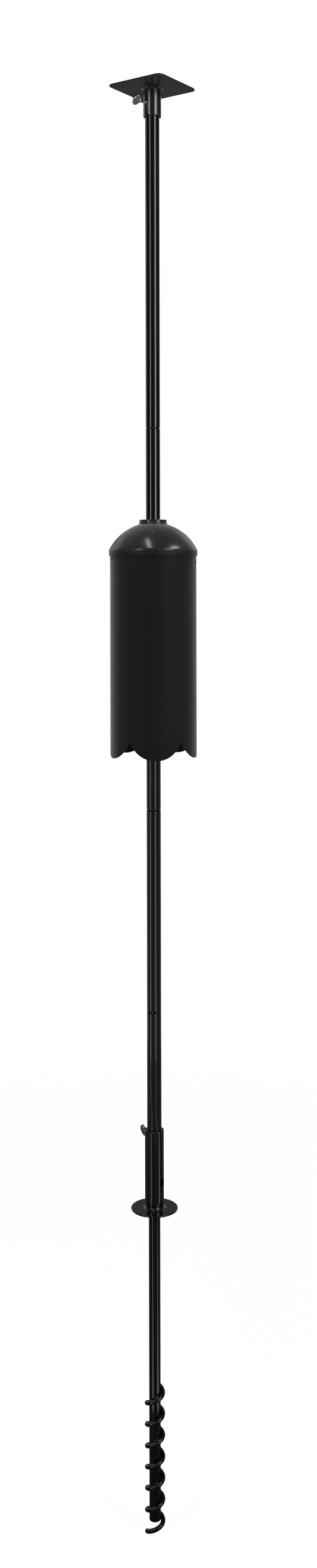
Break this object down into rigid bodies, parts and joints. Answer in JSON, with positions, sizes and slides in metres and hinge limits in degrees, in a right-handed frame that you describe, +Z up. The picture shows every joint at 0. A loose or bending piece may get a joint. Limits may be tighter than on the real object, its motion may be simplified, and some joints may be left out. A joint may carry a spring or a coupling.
{
  "type": "bird feeder pole",
  "caption": "Sectional steel garden pole with a screw-in ground auger, a floating squirrel baffle that swings and sinks on a spring, and a square mounting platform on top.",
  "frame": {"origin": "on the pole's axis at ground level, on the underside of the step disc", "axes": "+Z up along the pole, -Y towards the front, +X to the right"},
  "size_m": [0.157, 0.157, 2.5678],
  "materials": {
    "black_coat": "gloss black powder coat on steel",
    "anchor_coat": "satin black powder coat on steel, slightly uneven over the welds",
    "bright_plating": "bright zinc plating",
    "spring_steel": "drawn spring wire, lightly oiled",
    "slide_plastic": "plain black moulded plastic",
    "dome_plastic": "dark grey moulded plastic, semi-gloss",
    "shroud_plastic": "black plastic tube with a faintly brown satin surface"
  },
  "bodies": {
    "ground_anchor": {"ground_socket": "black_coat", "step_disc": "black_coat", "upper_disc_weld": "black_coat", "lower_disc_weld": "anchor_coat", "auger_shaft": "anchor_coat", "auger_spiral": "anchor_coat", "spiral_welds": "anchor_coat"},
    "ground_screw": {"ground_thumb_screw": "bright_plating"},
    "bottom_pole": {"pole_bottom_section": "black_coat"},
    "lower_pole": {"pole_lower_section": "black_coat"},
    "upper_pole": {"pole_upper_section": "black_coat"},
    "top_pole": {"pole_top_section": "black_coat"},
    "platform": {"platform_plate": "black_coat", "platform_socket": "black_coat", "platform_weld": "black_coat"},
    "platform_screw": {"platform_thumb_screw": "bright_plating"},
    "collar": {"spring_collar": "black_coat", "collar_screw": "bright_plating", "baffle_spring": "spring_steel"},
    "cap": {"spring_cap": "slide_plastic"},
    "swivel": {"swivel_ring": "slide_plastic"},
    "baffle": {"baffle_dome": "dome_plastic", "baffle_shroud": "shroud_plastic"}
  },
  "joints": [
    {"name": "ground_screw_turn", "type": "hinge", "parent": "ground_anchor", "child": "ground_screw", "pos_m": [0, 0, 0.1282], "axis": [-0.5299, 0.848, 0], "range_deg": [-450, 0]},
    {"name": "pole_lift", "type": "slide", "parent": "ground_anchor", "child": "bottom_pole", "axis": [0, 0, 1], "range_m": [0, 0.079]},
    {"name": "lower_section_pull", "type": "slide", "parent": "bottom_pole", "child": "lower_pole", "axis": [0, 0, 1], "range_m": [0, 0.045]},
    {"name": "upper_section_pull", "type": "slide", "parent": "lower_pole", "child": "upper_pole", "axis": [0, 0, 1], "range_m": [0, 0.045]},
    {"name": "top_section_pull", "type": "slide", "parent": "upper_pole", "child": "top_pole", "axis": [0, 0, 1], "range_m": [0, 0.045]},
    {"name": "platform_turn", "type": "hinge", "parent": "top_pole", "child": "platform", "pos_m": [0, 0, 1.989], "axis": [0, 0, 1], "continuous": true},
    {"name": "platform_screw_turn", "type": "hinge", "parent": "platform", "child": "platform_screw", "pos_m": [0, 0, 1.9625], "axis": [-0.7547, -0.6561, 0], "range_deg": [-450, 0]},
    {"name": "collar_slide", "type": "slide", "parent": "upper_pole", "child": "collar", "axis": [0, 0, 1], "range_m": [-0.2, 0.15]},
    {"name": "baffle_sink", "type": "slide", "parent": "collar", "child": "cap", "axis": [0, 0, 1], "range_m": [-0.05, 0], "stiffness_N_per_m": 290, "springref_m": 0.0165, "deforming": ["baffle_spring"]},
    {"name": "baffle_spin", "type": "hinge", "parent": "cap", "child": "swivel", "pos_m": [0, 0, 1.2022], "axis": [0, 0, 1], "continuous": true},
    {"name": "baffle_tilt", "type": "hinge", "parent": "swivel", "child": "baffle", "pos_m": [0, 0, 1.1316], "axis": [1, 0, 0], "range_deg": [-5, 5]}
  ]
}
